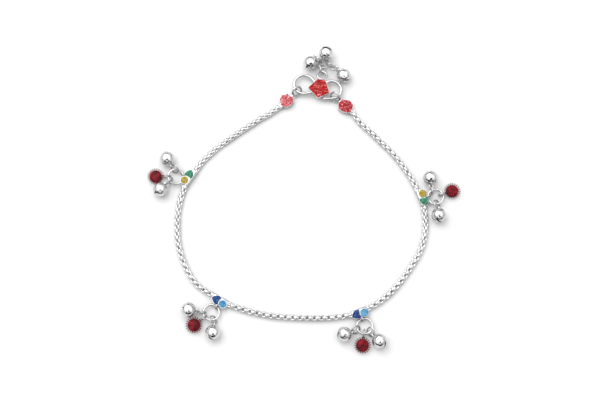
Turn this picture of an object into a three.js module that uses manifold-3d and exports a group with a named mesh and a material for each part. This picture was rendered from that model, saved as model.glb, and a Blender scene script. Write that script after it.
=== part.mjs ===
// Payal anklet: a box chain loop with four enamelled stations, an S-hook clasp,
// eleven round bells and four ruby drops. Millimetres, +Z up, lying on z = 0.
import * as THREE from 'three';
import { mergeVertices } from 'three/addons/utils/BufferGeometryUtils.js';
import Module from 'manifold-3d';

const wasm = await Module();
wasm.setup();

// ---------------------------------------------------------------- driving dimensions
const gap = 0.35; // air left between a chain end and the piece that it meets
const chainWidth = 2.2; // across the flats of the chain
const chainStepLength = 4.8; // length of one straight piece of a chain tube
const wireSides = 6;
const wireJointHalf = 0.45; // half the width of the metal that joins a loop to its piece
const wireJointSink = 0.2; // how far that metal runs into the loop
const openTop = 1; // how far a cutting tool stands above the metal
const enamelAir = 0.06; // joint between an enamel and its metal cup

const bell = { radius: 2.7, wall: 0.35, slot: 0.7, slotReach: 1.7 };
const bellLoop = { radius: 0.7, wire: 0.42, centre: 3.15 };
const jumpRing = { radius: 1.53, wire: 0.54, steps: 14 };
const hangRing = { radius: 2.8, wire: 0.76, steps: 18 };
const clusterRing = { radius: 2.0, wire: 0.66, steps: 14 };

const bar = { length: 6.2 }; // the stretch of a station in line with the chain
const cup = { bottom: 1.74, top: 2.45, floor: 2.08, rim: 0.16 };
const enamelTop = 2.6;
const roundCup = { radius: 1.42, out: 1.2, along: 1.5 };
const leafCup = { out: 0.95, along: -1.4, size: 1.06, grow: 1.17 };
const hangLoop = { radius: 1.12, wire: 0.46, out: 2.82, height: 1.4, joint: [1.0, 1.8] };

const crownTeeth = { count: 20, tip: 3.0, valley: 2.42 };
const crown = { bore: 2.1, base: 0.2, floor: 0.8, collar: 1.3, top: 2.15 };
const crownOverlap = 0.1; // how far the toothed part runs down into the collar
const stone = { radius: 1.98, girdle: 1.5, table: 1.25, bottom: 0.95, top: 2.1 };
const dropLoop = { radius: 1.45, wire: 0.5, centre: 4.15, height: 1.75, joint: [1.0, 1.9], jointEnd: 3.1 };

const bud = { bottom: 0.2, top: 2.1, floor: 1.6, enamelTop: 2.4, ringOut: 5.12, tail: 2.9, neckFrom: 1.5 };
const capRing = { radius: 1.85, wire: 0.78, roll: 52, height: 1.95, joint: [1.3, 2.1] };
const budSide = [[2.2, 1.5], [1.3, 2.2], [-0.3, 2.45], [-1.7, 2.0], [-2.9, 0.75]];

const hookWire = 1.1;
const hookHeight = 1.7;
const hookSteps = 46;
const plate = { bottom: 2.1, top: 3.2, floor: 2.75, enamelTop: 3.35, rim: 0.28 };
const plateLoop = { radius: 1.75, wire: 0.7, at: [6.95, 48.65, 2.05], slope: 16 };
const plateLoopJoint = { x: [6.2, 7.4], y: [45.9, 47.1], z: [2.1, 2.65] };

// The whole layout is drawn about the loop's own middle and then moved, so that the
// box of the finished anklet is centred on the origin.
const toMiddle = [0, -2.2, 0];

// ---------------------------------------------------------------- layout tables
// A heading is in degrees from +X towards +Y. A station's heading points out of the loop.
const stations = [
  { name: 'left', at: [-41.55, 8.45], heading: 147.7, leaf: 'green', round: 'yellow' },
  { name: 'front_left', at: [-29.32, -36.08], heading: -121, leaf: 'navy', round: 'sky' },
  { name: 'front_right', at: [19.7, -40.32], heading: -69.3, leaf: 'navy', round: 'sky' },
  { name: 'right', at: [42.67, 0.95], heading: 18.7, leaf: 'green', round: 'yellow' },
];

const caps = [
  { name: 'left', at: [-6.22, 38.82], heading: 42.1, enamel: 'rose', roll: capRing.roll },
  { name: 'right', at: [15.68, 36.66], heading: 138.4, enamel: 'garnet', roll: -capRing.roll },
];

// Points of the chain between its ends, in the order of travel from the left cap.
const chainRoutes = [
  {
    name: 'back_left',
    points: [[-12.4, 33.9], [-16.1, 31.75], [-19.8, 29.2], [-23.5, 26.7], [-27.1, 24.0],
      [-30.8, 21.4], [-34.4, 18.1], [-37.7, 14.5]],
  },
  {
    name: 'left',
    points: [[-44.75, 1.0], [-45.5, -3.1], [-45.7, -6.9], [-45.6, -10.6], [-45.3, -14.3],
      [-44.5, -18.0], [-43.3, -21.7], [-41.65, -25.3], [-39.2, -29.2], [-35.7, -32.4]],
  },
  {
    name: 'front',
    points: [[-22.6, -39.2], [-19.0, -40.25], [-15.5, -41.1], [-11.9, -41.75], [-8.4, -42.15],
      [-4.8, -42.4], [-1.3, -42.6], [2.3, -42.65], [5.8, -42.65], [9.4, -42.5], [12.9, -42.15]],
  },
  {
    name: 'right',
    points: [[27.0, -36.7], [30.8, -33.6], [34.5, -29.5], [38.0, -24.8], [40.3, -21.2],
      [42.1, -17.9], [43.3, -14.3], [44.0, -10.6], [44.1, -6.8]],
  },
  {
    name: 'back_right',
    points: [[39.0, 9.5], [35.45, 15.0], [31.9, 19.4], [28.25, 23.1], [24.6, 26.9], [21.0, 30.3]],
  },
];

// Big rings that gather the bells and the drop: centre, the heading of the dipping side, its slope.
const hangRings = [
  { name: 'left', at: [-46.65, 9.36, 1.6], heading: -5, slope: 9 },
  { name: 'front_left', at: [-32.68, -40.72, 1.42], heading: 60, slope: 5 },
  { name: 'front_right', at: [21.6, -45.6, 1.42], heading: 110, slope: 5 },
  { name: 'right', at: [48.1, 1.75, 1.42], heading: 180, slope: 5 },
];

// Each bell, its wire loop's heading and dip, and the roll of the jump ring through that loop.
// bend turns the ring off the loop's heading. A bell without a ring hangs by its own loop.
const bells = [
  { name: 'left_back', at: [-49.96, 15.92, 2.75], heading: -52, slope: 13, roll: 50, bend: 0 },
  { name: 'left_front', at: [-52.1, 4.2, 2.75], heading: 45, slope: 8, roll: 90, bend: 0 },
  { name: 'front_left_side', at: [-40.65, -40.0, 3.1], heading: -8, slope: 14, roll: 90, bend: 0 },
  { name: 'front_left_front', at: [-32.0, -48.05, 2.75], heading: 90, slope: 14, roll: 45, bend: 0 },
  { name: 'front_right_side', at: [14.3, -48.65, 2.75], heading: 23, slope: 14, roll: 45, bend: 0 },
  { name: 'front_right_front', at: [26.64, -51.06, 2.75], heading: 131, slope: 14, roll: -45, bend: 0 },
  { name: 'right_back', at: [46.2, 8.6, 2.75], heading: -84, slope: 11, roll: 90, bend: 0 },
  { name: 'right_front', at: [48.9, -5.5, 2.75], heading: 96, slope: 14, roll: 45, bend: 0 },
  { name: 'clasp_left', at: [2.6, 53.35, 2.75], heading: 56, slope: 10, roll: 90, bend: -93 },
  { name: 'clasp_back', at: [8.5, 56.87, 3.84], heading: -107, slope: 62, roll: null },
  { name: 'clasp_right', at: [15.0, 48.3, 2.75], heading: 135, slope: 10.5, roll: 35, bend: 0 },
];

// Rings of the clasp's cluster, between the hook's top loop and its bells.
const clusterRings = [
  { name: 'cluster_ring', at: [7.5, 53.6, 1.55], heading: 90, slope: 16, roll: 0, ring: clusterRing },
  { name: 'cluster_link_hook', at: [7.2, 51.0, 1.82], heading: 90, slope: 0, roll: 60, ring: jumpRing },
  { name: 'cluster_link_bell', at: [9.85, 52.8, 1.9], heading: -26, slope: 0, roll: 90, ring: jumpRing },
];

const drops = [
  { name: 'left', at: [-54.13, 9.56], towards: 0 },
  { name: 'front_left', at: [-38.8, -45.18], towards: 1 },
  { name: 'front_right', at: [20.69, -52.36], towards: 2 },
  { name: 'right', at: [54.2, 4.05], towards: 3 },
];

// Centre line of the hook's wire, from its free end round the open lobe to the closed one.
const hookRoute = [[7.6, 39.6], [9.2, 39.5], [10.8, 39.57], [13.05, 40.5], [14.1, 43.0],
  [13.05, 45.5], [10.65, 46.45], [8.3, 45.7], [6.2, 43.7], [3.6, 42.2], [0.15, 41.5],
  [-2.45, 42.6], [-3.5, 45.15], [-2.4, 47.75], [0.15, 48.8], [2.7, 47.9], [4.5, 45.9]];

const plateCorners = [[5.4, 39.45], [9.56, 41.46], [8.03, 46.32], [5.28, 46.71], [1.88, 43.35]];

// ---------------------------------------------------------------- finishes
function finish(color, metalness, roughness) {
  return new THREE.MeshStandardMaterial({ color, metalness, roughness });
}

const silver = finish(0xe6e4e0, 1, 0.22);
const enamels = {
  green: finish(0x3c8c6e, 0, 0.25),
  yellow: finish(0xcda532, 0, 0.25),
  navy: finish(0x2a478f, 0, 0.25),
  sky: finish(0x50a5d2, 0, 0.25),
  rose: finish(0xe65f64, 0, 0.3),
  garnet: finish(0xcd4146, 0, 0.3),
  red: finish(0xc82323, 0, 0.2),
};
const ruby = finish(0x821928, 0, 0.1);

// ---------------------------------------------------------------- solids
function solidOf(geometry) {
  const bare = geometry.clone();
  bare.deleteAttribute('normal');
  bare.deleteAttribute('uv');
  const merged = mergeVertices(bare, 1e-5);
  return new wasm.Manifold(new wasm.Mesh({
    numProp: 3,
    vertProperties: new Float32Array(merged.attributes.position.array),
    triVerts: new Uint32Array(merged.index.array),
  }));
}

function geometryOf(solid) {
  const mesh = solid.getMesh();
  const geometry = new THREE.BufferGeometry();
  geometry.setAttribute('position', new THREE.BufferAttribute(mesh.vertProperties, 3));
  geometry.setIndex(new THREE.BufferAttribute(mesh.triVerts, 1));
  geometry.computeVertexNormals();
  return geometry;
}

function joined(...geometries) {
  return geometryOf(geometries.map(solidOf).reduce((all, one) => all.add(one)));
}

function cut(geometry, ...tools) {
  const whole = solidOf(geometry);
  return geometryOf(tools.map(solidOf).reduce((body, tool) => body.subtract(tool), whole));
}

function prism(shape, bottom, top, curveSegments = 5) {
  const options = { depth: top - bottom, bevelEnabled: false, curveSegments };
  return new THREE.ExtrudeGeometry(shape, options).translate(0, 0, bottom);
}

function disc(radius, bottom, top, sides = 20) {
  const geometry = new THREE.CylinderGeometry(radius, radius, top - bottom, sides);
  return geometry.rotateX(Math.PI / 2).translate(0, 0, (bottom + top) / 2);
}

function block(x, y, z) {
  const geometry = new THREE.BoxGeometry(x[1] - x[0], y[1] - y[0], z[1] - z[0]);
  return geometry.translate((x[0] + x[1]) / 2, (y[0] + y[1]) / 2, (z[0] + z[1]) / 2);
}

// The metal that joins a standing wire loop to its piece, along X.
function wireJoint(from, to, heights) {
  return block([from, to], [-wireJointHalf, wireJointHalf], heights);
}

// A round wire bent into a ring that lies flat about its own centre.
function wireRing({ radius, wire, steps = 12 }) {
  return new THREE.TorusGeometry(radius, wire / 2, wireSides, steps);
}

function shapeOf(points) {
  return new THREE.Shape(points.map(([x, y]) => new THREE.Vector2(x, y)));
}

// Corners moved inwards by a distance, for the enamel inside a metal rim.
function inset(corners, distance) {
  const count = corners.length;
  return corners.map((corner, i) => {
    const before = corners[(i + count - 1) % count];
    const after = corners[(i + 1) % count];
    const [a, b] = [[before, corner], [corner, after]].map(([p, q]) => {
      const length = Math.hypot(q[0] - p[0], q[1] - p[1]);
      return [(p[1] - q[1]) / length, (q[0] - p[0]) / length];
    });
    const scale = distance / (1 + a[0] * b[0] + a[1] * b[1]);
    return [corner[0] + (a[0] + b[0]) * scale, corner[1] + (a[1] + b[1]) * scale];
  });
}

// ---------------------------------------------------------------- placing
const radians = THREE.MathUtils.degToRad;

// Rolls a piece about its own X, dips its X end by the slope and turns it to the heading.
function place(object, [x, y, z = 0], heading, slope = 0, roll = 0) {
  object.rotation.set(radians(roll), radians(slope), radians(heading), 'ZYX');
  object.position.set(x, y, z);
  return object;
}

function piece(name, geometry, material) {
  const mesh = new THREE.Mesh(geometry, material);
  mesh.name = name;
  return mesh;
}

// Heading, in degrees, of the line from one point to another.
function headingTo([x, y], [toX, toY]) {
  return THREE.MathUtils.radToDeg(Math.atan2(toY - y, toX - x));
}

function ahead([x, y], heading, distance) {
  return [x + distance * Math.cos(radians(heading)), y + distance * Math.sin(radians(heading))];
}

// The point at a distance along a heading that dips by a slope.
function along([x, y, z], heading, slope, distance) {
  const flat = distance * Math.cos(radians(slope));
  return [...ahead([x, y], heading, flat), z - distance * Math.sin(radians(slope))];
}

// ---------------------------------------------------------------- chain
// An eight-sided tube with a flat underside, along its route at half its own height.
function chainTube(ends, points) {
  const route = [ends[0], ...points, ends[1]];
  const path = pathAt(route, chainWidth / 2);
  return wireAlong(path, chainWidth, Math.round(path.getLength() / chainStepLength));
}

function pathAt(route, height) {
  return new THREE.CatmullRomCurve3(route.map(([x, y]) => new THREE.Vector3(x, y, height)));
}

function wireAlong(path, width, steps) {
  return new THREE.ExtrudeGeometry(octagon(width), { extrudePath: path, steps, bevelEnabled: false });
}

function octagon(width) {
  const corner = width / 2 / Math.cos(Math.PI / 8);
  const corners = Array.from({ length: 8 }, (_, i) => {
    const angle = Math.PI / 8 + (i * Math.PI) / 4;
    return [corner * Math.cos(angle), corner * Math.sin(angle)];
  });
  return shapeOf(corners);
}

function stationEnd(station, side) {
  return ahead(station.at, station.heading + 90, side * (bar.length / 2 + gap));
}

function capEnd(cap) {
  return ahead(cap.at, cap.heading, -bud.tail - gap);
}

function chains() {
  const starts = [capEnd(caps[0]), ...stations.map((station) => stationEnd(station, 1))];
  const finishes = [...stations.map((station) => stationEnd(station, -1)), capEnd(caps[1])];
  return chainRoutes.map(({ name, points }, i) =>
    piece(`chain_${name}`, chainTube([starts[i], finishes[i]], points), silver));
}

// ---------------------------------------------------------------- stations
// A leaf with a hollow end that takes the round cup, and a notched tip.
function leafShape(scale) {
  const shape = new THREE.Shape();
  const at = (u, v) => [leafCup.out + v * scale, leafCup.along - u * scale];
  shape.moveTo(...at(-1.5, 1.3));
  shape.quadraticCurveTo(...at(-0.7, 0), ...at(-1.5, -1.3));
  shape.quadraticCurveTo(...at(0.5, -1.9), ...at(1.6, -0.95));
  shape.quadraticCurveTo(...at(1.5, -0.3), ...at(1.05, 0));
  shape.quadraticCurveTo(...at(1.5, 0.3), ...at(1.6, 0.95));
  shape.quadraticCurveTo(...at(0.5, 1.9), ...at(-1.5, 1.3));
  return shape;
}

function roundDisc(radius, bottom, top) {
  return disc(radius, bottom, top, 16).translate(roundCup.out, roundCup.along, 0);
}

function stationSetting() {
  const body = disc(chainWidth / 2 / Math.cos(Math.PI / 8), -bar.length / 2, bar.length / 2, 8)
    .rotateZ(Math.PI / 8).rotateX(Math.PI / 2).translate(0, 0, chainWidth / 2);
  const loop = wireRing(hangLoop).rotateX(Math.PI / 2).translate(hangLoop.out, 0, hangLoop.height);
  const joint = wireJoint(0, hangLoop.out - hangLoop.radius + wireJointSink, hangLoop.joint);
  const metal = joined(body, prism(leafShape(leafCup.grow), cup.bottom, cup.top, 3),
    roundDisc(roundCup.radius + cup.rim, cup.bottom, cup.top), loop, joint);
  return cut(metal, prism(leafShape(leafCup.size), cup.floor, cup.top + openTop, 3),
    roundDisc(roundCup.radius, cup.floor, cup.top + openTop));
}

function station({ name, at, heading, leaf, round }) {
  const group = new THREE.Group();
  const leafFill = prism(leafShape(leafCup.size - enamelAir), cup.floor + enamelAir, enamelTop, 3);
  const roundFill = roundDisc(roundCup.radius - enamelAir, cup.floor + enamelAir, enamelTop);
  group.add(piece(`station_${name}`, stationSetting(), silver));
  group.add(piece(`leaf_enamel_${name}`, leafFill, enamels[leaf]));
  group.add(piece(`round_enamel_${name}`, roundFill, enamels[round]));
  return place(group, at, heading);
}

// ---------------------------------------------------------------- bells and rings
// A hollow ball with its wire loop on +X and a slot across the opposite pole.
function bellGeometry() {
  const { radius, wall, slot, slotReach } = bell;
  const outside = new THREE.SphereGeometry(radius, 12, 8).rotateZ(Math.PI / 2);
  const inside = new THREE.SphereGeometry(radius - wall, 9, 6).rotateZ(Math.PI / 2);
  const mouth = block([-radius - openTop, -radius / 3], [-slot / 2, slot / 2], [-slotReach, slotReach]);
  const loop = wireRing(bellLoop).translate(bellLoop.centre, 0, 0);
  return cut(joined(outside, loop), inside, mouth);
}

function bellAndLink({ name, at, heading, slope, roll, bend }) {
  const ball = piece(`bell_${name}`, bellGeometry(), silver);
  if (roll === null) return [place(ball, at, heading, slope, 90)];
  const ring = piece(`jump_ring_${name}`, wireRing(jumpRing), silver);
  const loopCentre = along(at, heading, slope, bellLoop.centre);
  const ringCentre = along(loopCentre, heading + bend, slope, jumpRing.radius);
  return [
    place(ball, at, heading, slope, roll - 90),
    place(ring, ringCentre, heading + bend, slope, roll),
  ];
}

function hangRingPiece({ name, at, heading, slope }) {
  return place(piece(`hang_ring_${name}`, wireRing(hangRing), silver), at, heading, slope);
}

function clusterPiece({ name, at, heading, slope, roll, ring }) {
  return place(piece(name, wireRing(ring), silver), at, heading, slope, roll);
}

// ---------------------------------------------------------------- ruby drops
function toothedShape() {
  const corners = Array.from({ length: crownTeeth.count * 2 }, (_, i) => {
    const radius = i % 2 ? crownTeeth.valley : crownTeeth.tip;
    const angle = (i * Math.PI) / crownTeeth.count;
    return [radius * Math.cos(angle), radius * Math.sin(angle)];
  });
  return shapeOf(corners);
}

function crownGeometry() {
  const collar = disc(crownTeeth.valley, crown.base, crown.collar);
  const teeth = prism(toothedShape(), crown.collar - crownOverlap, crown.top);
  const loop = wireRing(dropLoop).rotateX(Math.PI / 2).translate(dropLoop.centre, 0, dropLoop.height);
  const joint = wireJoint(crown.bore, dropLoop.jointEnd, dropLoop.joint);
  return cut(joined(collar, teeth, loop, joint), disc(crown.bore, crown.floor, crown.top + openTop));
}

function stoneGeometry() {
  const profile = [[0, stone.bottom], [stone.radius, stone.bottom], [stone.radius, stone.girdle],
    [stone.table, stone.top], [0, stone.top]];
  const geometry = new THREE.LatheGeometry(profile.map(([x, y]) => new THREE.Vector2(x, y)), 16);
  return geometry.rotateX(Math.PI / 2);
}

function drop({ name, at, towards }) {
  const group = new THREE.Group();
  const heading = headingTo(at, hangRings[towards].at);
  group.add(piece(`drop_crown_${name}`, crownGeometry(), silver));
  group.add(piece(`drop_ruby_${name}`, stoneGeometry(), ruby));
  return place(group, at, heading);
}

// ---------------------------------------------------------------- clasp
function budCorners() {
  const otherSide = budSide.map(([x, y]) => [x, -y]).reverse();
  return [...otherSide, ...budSide];
}

function cap({ name, at, heading, enamel, roll }) {
  const group = new THREE.Group();
  const corners = budCorners();
  const outline = shapeOf(corners);
  const hollow = shapeOf(inset(corners, plate.rim));
  const fill = shapeOf(inset(corners, plate.rim + enamelAir));
  const ring = wireRing(capRing).rotateX(radians(roll)).translate(bud.ringOut, 0, capRing.height);
  const neck = wireJoint(bud.neckFrom, bud.ringOut - capRing.radius + wireJointSink, capRing.joint);
  const metal = joined(prism(outline, bud.bottom, bud.top), neck, ring);
  const tray = cut(metal, prism(hollow, bud.floor, bud.top + openTop));
  const enamelFill = prism(fill, bud.floor + enamelAir, bud.enamelTop);
  group.add(piece(`end_cap_${name}`, tray, silver));
  group.add(piece(`cap_enamel_${name}`, enamelFill, enamels[enamel]));
  return place(group, at, heading);
}

function clasp() {
  const { at, slope, ...loopSize } = plateLoop;
  const tray = prism(shapeOf(plateCorners), plate.bottom, plate.top);
  const hollow = prism(shapeOf(inset(plateCorners, plate.rim)), plate.floor, plate.top + openTop);
  const fill = shapeOf(inset(plateCorners, plate.rim + enamelAir));
  const wire = wireAlong(pathAt(hookRoute, hookHeight), hookWire, hookSteps);
  const loop = wireRing(loopSize).rotateX(-radians(slope)).translate(...at);
  const joint = block(plateLoopJoint.x, plateLoopJoint.y, plateLoopJoint.z);
  const metal = cut(joined(wire, tray, loop, joint), hollow);
  return [
    piece('hook', metal, silver),
    piece('hook_enamel', prism(fill, plate.floor + enamelAir, plate.enamelTop), enamels.red),
  ];
}

// ---------------------------------------------------------------- the whole anklet
const anklet = new THREE.Group();
anklet.name = 'payal_anklet';
anklet.add(...chains());
anklet.add(...stations.map(station));
anklet.add(...hangRings.map(hangRingPiece));
anklet.add(...bells.flatMap(bellAndLink));
anklet.add(...clusterRings.map(clusterPiece));
anklet.add(...drops.map(drop));
anklet.add(...caps.map(cap));
anklet.add(...clasp());
anklet.position.set(...toMiddle);

export default anklet;
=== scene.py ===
"""Looks of the payal anklet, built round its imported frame.

Each piece is modelled in millimetres about its own middle. Its placement then turns it and moves
it into the frame, in metres. Headings are in degrees from +X towards +Y.
"""

import logging
import math
import random
from dataclasses import dataclass, field
from enum import Enum

import bmesh
import bpy
from bmesh.types import BMEdge, BMFace, BMesh, BMVert
from mathutils import Matrix, Vector

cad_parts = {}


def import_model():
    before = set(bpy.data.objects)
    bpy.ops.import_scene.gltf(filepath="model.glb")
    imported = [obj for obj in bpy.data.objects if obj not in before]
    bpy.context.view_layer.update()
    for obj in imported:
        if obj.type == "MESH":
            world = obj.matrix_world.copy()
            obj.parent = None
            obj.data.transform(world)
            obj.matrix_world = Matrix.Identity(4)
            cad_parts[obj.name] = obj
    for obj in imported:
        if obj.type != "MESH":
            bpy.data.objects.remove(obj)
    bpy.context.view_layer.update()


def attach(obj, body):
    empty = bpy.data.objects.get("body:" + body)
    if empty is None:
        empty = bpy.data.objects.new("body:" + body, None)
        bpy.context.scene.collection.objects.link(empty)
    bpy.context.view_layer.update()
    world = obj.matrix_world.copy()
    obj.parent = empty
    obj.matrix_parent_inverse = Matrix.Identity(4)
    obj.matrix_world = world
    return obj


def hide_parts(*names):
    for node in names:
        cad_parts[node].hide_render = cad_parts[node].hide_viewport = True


LOG = logging.getLogger("payal_anklet")
BODY = "root"
MM_PER_M = 1000.0
LAYOUT_SHIFT = (0.0, -2.2, 0.0)
TO_FRAME = Matrix.Scale(1 / MM_PER_M, 4) @ Matrix.Translation(LAYOUT_SHIFT)
SHARP_ANGLE = math.radians(38)
LINK_SHARP_ANGLE = math.radians(75)
# Enamel lies in hollows of one depth, whose walls lean in by the draft.
HOLLOW = 0.3
DRAFT = 0.02

Point = tuple[float, float]
Span = tuple[float, float]
Point3 = tuple[float, float, float]
Colour = tuple[float, float, float]


# ---- placing


def turned(degrees: float, axis: str) -> Matrix:
    """A turn about an axis."""
    return Matrix.Rotation(math.radians(degrees), 4, axis)


def shifted(x: float, y: float = 0.0, z: float = 0.0) -> Matrix:
    """A shift."""
    return Matrix.Translation((x, y, z))


FACING_X = turned(90, "Y")
UPRIGHT = turned(90, "X")


@dataclass(frozen=True)
class Placement:
    """Where a piece's middle lies, and how the piece is turned."""

    at: Point3
    heading: float = 0.0
    slope: float = 0.0
    roll: float = 0.0

    def matrix(self) -> Matrix:
        """Rolls about X, dips the X end by the slope, turns to the heading and moves."""
        turns = turned(self.heading, "Z") @ turned(self.slope, "Y") @ turned(self.roll, "X")
        return shifted(*self.at) @ turns

    def along(self, distance: float) -> Vector:
        """The point at a distance along the piece's own X."""
        return self.matrix() @ Vector((distance, 0.0, 0.0))


def ahead(at: Point, heading: float, distance: float) -> Point:
    """The point at a distance along a level heading."""
    turn = math.radians(heading)
    return at[0] + distance * math.cos(turn), at[1] + distance * math.sin(turn)


@dataclass(frozen=True)
class Route:
    """A smooth level curve through points: a centripetal spline, measured by its length."""

    points: tuple[Point, ...]
    height: float
    samples: int = 24

    def _spot(self, index: int, t: float) -> Vector:
        """The point at a fraction t of the way from one given point to the next."""
        given = [Vector(p) for p in self.points]
        before = given[index - 1] if index > 0 else 2 * given[0] - given[1]
        last = index + 2
        after = given[last] if last < len(given) else 2 * given[-1] - given[-2]
        a, b, c, d = before, given[index], given[index + 1], after
        ab, bc, cd = ((q - p).length ** 0.5 for p, q in ((a, b), (b, c), (c, d)))
        leave = ((b - a) / ab - (c - a) / (ab + bc) + (c - b) / bc) * bc
        arrive = ((c - b) / bc - (d - b) / (bc + cd) + (d - c) / cd) * bc
        square = 3 * (c - b) - 2 * leave - arrive
        cube = 2 * (b - c) + leave + arrive
        return b + leave * t + square * t**2 + cube * t**3

    def frames(self, count: int) -> list[Matrix]:
        """Evenly spaced places along the curve.

        Args:
            count: how many places, the two ends included.

        Returns:
            A matrix for each place, with X along the curve and Z up.
        """
        spots = [
            self._spot(i, k / self.samples)
            for i in range(len(self.points) - 1)
            for k in range(self.samples)
        ] + [Vector(self.points[-1])]
        run = [0.0]
        for p, q in zip(spots, spots[1:]):
            run.append(run[-1] + (q - p).length)
        places = []
        k = 0
        for i in range(count):
            wanted = run[-1] * i / (count - 1)
            while k < len(run) - 2 and run[k + 1] < wanted:
                k += 1
            step = spots[k + 1] - spots[k]
            spot = spots[k] + step * ((wanted - run[k]) / (run[k + 1] - run[k]))
            heading = math.degrees(math.atan2(step.y, step.x))
            places.append(Placement((spot.x, spot.y, self.height), heading).matrix())
        return places

    def length(self) -> float:
        """The length of the curve."""
        places = self.frames(200)
        return sum((q.translation - p.translation).length for p, q in zip(places, places[1:]))


# ---- shader maths


class Wire:
    """A socket's value in a shader, which Python's operators work on."""

    def __init__(self, graph: "Graph", socket: bpy.types.NodeSocket) -> None:
        """Keeps the graph and the socket."""
        self.graph = graph
        self.socket = socket

    def _math(self, operation: str, *values: "Wire | float") -> "Wire":
        """Adds a Math node on values."""
        return self.graph.node(
            "ShaderNodeMath", {"operation": operation}, dict(enumerate(values))
        )

    def __add__(self, other: "Wire | float") -> "Wire":
        """Sum."""
        return self._math("ADD", self, other)

    __radd__ = __add__

    def __mul__(self, other: "Wire | float") -> "Wire":
        """Product."""
        return self._math("MULTIPLY", self, other)

    __rmul__ = __mul__

    def __sub__(self, other: "Wire | float") -> "Wire":
        """Difference."""
        return self._math("SUBTRACT", self, other)

    def __rsub__(self, other: float) -> "Wire":
        """Difference from a number."""
        return self._math("SUBTRACT", other, self)

    def __truediv__(self, other: "Wire | float") -> "Wire":
        """Quotient."""
        return self._math("DIVIDE", self, other)

    def size(self) -> "Wire":
        """The value without its sign."""
        return self._math("ABSOLUTE", self)

    def ramp(self, low: float, high: float) -> "Wire":
        """Goes smoothly from 0 at low to 1 at high."""
        return self.graph.node(
            "ShaderNodeMapRange",
            {"interpolation_type": "SMOOTHSTEP"},
            {"Value": self, "From Min": low, "From Max": high, "To Min": 0.0, "To Max": 1.0},
        )

    def spread(self, low: float, high: float) -> "Wire":
        """Goes from low at 0 to high at 1."""
        return self * (high - low) + low


class Graph:
    """The node tree of a material or of the world."""

    def __init__(self, owner: bpy.types.Material | bpy.types.World, shader: str) -> None:
        """Turns the owner's nodes on and keeps its shader."""
        owner.use_nodes = True
        self.owner = owner
        self.tree = owner.node_tree
        self.shader = self.tree.nodes[shader]

    @classmethod
    def of_material(cls, name: str) -> "Graph":
        """A new material with one Principled shader."""
        return cls(bpy.data.materials.new(name), "Principled BSDF")

    def node(
        self,
        kind: str,
        settings: dict | None = None,
        values: dict | None = None,
        output: str | int = 0,
    ) -> Wire:
        """Adds a node.

        Args:
            kind: the node's type.
            settings: its properties.
            values: what its input sockets take, wires or plain values.
            output: the output that is wanted.

        Returns:
            The wire from that output.
        """
        made = self.tree.nodes.new(kind)
        for key, value in (settings or {}).items():
            setattr(made, key, value)
        for key, value in (values or {}).items():
            self.feed(made.inputs[key], value)
        return Wire(self, made.outputs[output])

    def feed(self, socket: bpy.types.NodeSocket, value: "Wire | float | tuple") -> None:
        """Links a wire to a socket, or sets its plain value."""
        if isinstance(value, Wire):
            self.tree.links.new(value.socket, socket)
        else:
            socket.default_value = value

    def set(self, **values: "Wire | float | tuple") -> None:
        """Feeds the shader's sockets: base_color feeds Base Color."""
        for key, value in values.items():
            words = key.replace("_", " ").title().replace("Ior", "IOR")
            self.feed(self.shader.inputs[words], value)

    def place(self) -> Wire:
        """Object coordinates."""
        return self.node("ShaderNodeTexCoord", output="Object")

    def noise(self, per_mm: float, detail: float = 2.0, twist: float = 0.0) -> Wire:
        """Noise with a number of lumps in each millimetre."""
        values = {"Scale": per_mm * MM_PER_M, "Detail": detail, "Distortion": twist}
        return self.node("ShaderNodeTexNoise", values={"Vector": self.place(), **values})

    def mix(self, mask: Wire, low: "Colour | Wire", high: "Colour | Wire") -> Wire:
        """Goes from one colour to another with a mask."""
        made = self.tree.nodes.new("ShaderNodeMix")
        made.data_type = "RGBA"
        self.feed(made.inputs["Factor"], mask)
        for socket, value in ((made.inputs[6], low), (made.inputs[7], high)):
            self.feed(socket, value if isinstance(value, Wire) else (*value, 1.0))
        return Wire(self, made.outputs[2])

    def bump(self, height: Wire, depth_mm: float, coarse: Wire | None = None) -> Wire:
        """A bumped normal of a full depth in millimetres, on top of a coarser one if given."""
        values = {"Height": height, "Distance": depth_mm / MM_PER_M, "Strength": 1.0}
        if coarse is not None:
            values["Normal"] = coarse
        return self.node("ShaderNodeBump", values=values)


# ---- finishes


@dataclass(frozen=True)
class SilverFinish:
    """Polished silver with soft dents and fine marks, and greyer patches in places."""

    name: str
    bright: Colour
    dull: Colour
    rough: Span
    dents_per_mm: float
    dent_depth: float
    marks_per_mm: float = 7.0
    mark_depth: float = 0.003
    patches_per_mm: float = 0.35
    patch_edge: Span = (0.38, 0.72)
    patch_strength: float = 0.55
    slot: str = "silver"

    def build(self) -> bpy.types.Material:
        """Makes the material."""
        graph = Graph.of_material(self.name)
        patches = graph.noise(self.patches_per_mm, 4.0).ramp(*self.patch_edge)
        marks = graph.noise(self.marks_per_mm, 3.0, 1.5)
        dents = graph.bump(graph.noise(self.dents_per_mm, 1.5), self.dent_depth)
        graph.set(
            base_color=graph.mix(patches * self.patch_strength, self.bright, self.dull),
            metallic=1.0,
            roughness=(patches * 0.6 + marks * 0.4).spread(*self.rough),
            normal=graph.bump(marks, self.mark_depth, dents),
        )
        return graph.owner


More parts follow.
